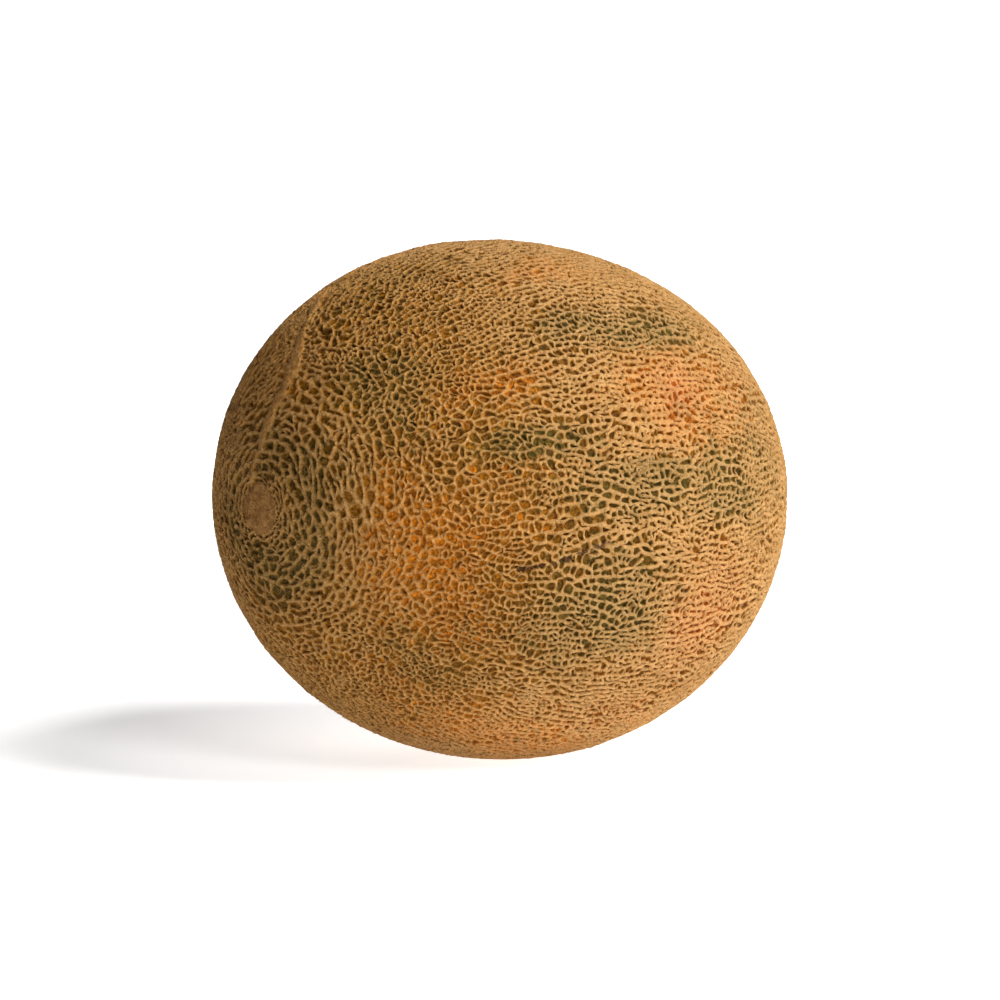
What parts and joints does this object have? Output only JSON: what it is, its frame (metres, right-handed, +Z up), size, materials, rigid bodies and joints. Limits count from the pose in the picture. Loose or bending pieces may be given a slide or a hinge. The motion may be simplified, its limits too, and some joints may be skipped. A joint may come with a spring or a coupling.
{
  "type": "cantaloupe melon",
  "caption": "Oval netted cantaloupe melon lying on its side, with a raised corky net, a round scar at each end and a small flat resting spot.",
  "frame": {"origin": "centre of the small flat spot that the melon rests on, under the middle of its box", "axes": "+X along the fruit from the blossom scar to the stem scar, +Z up from the resting surface, +Y to the far side"},
  "size_m": [0.1724, 0.1452, 0.1439],
  "materials": {
    "rind": "matte corky tan net over a waxy skin of orange, olive and dark green"
  },
  "bodies": {
    "root": {"melon": "rind"}
  },
  "joints": []
}
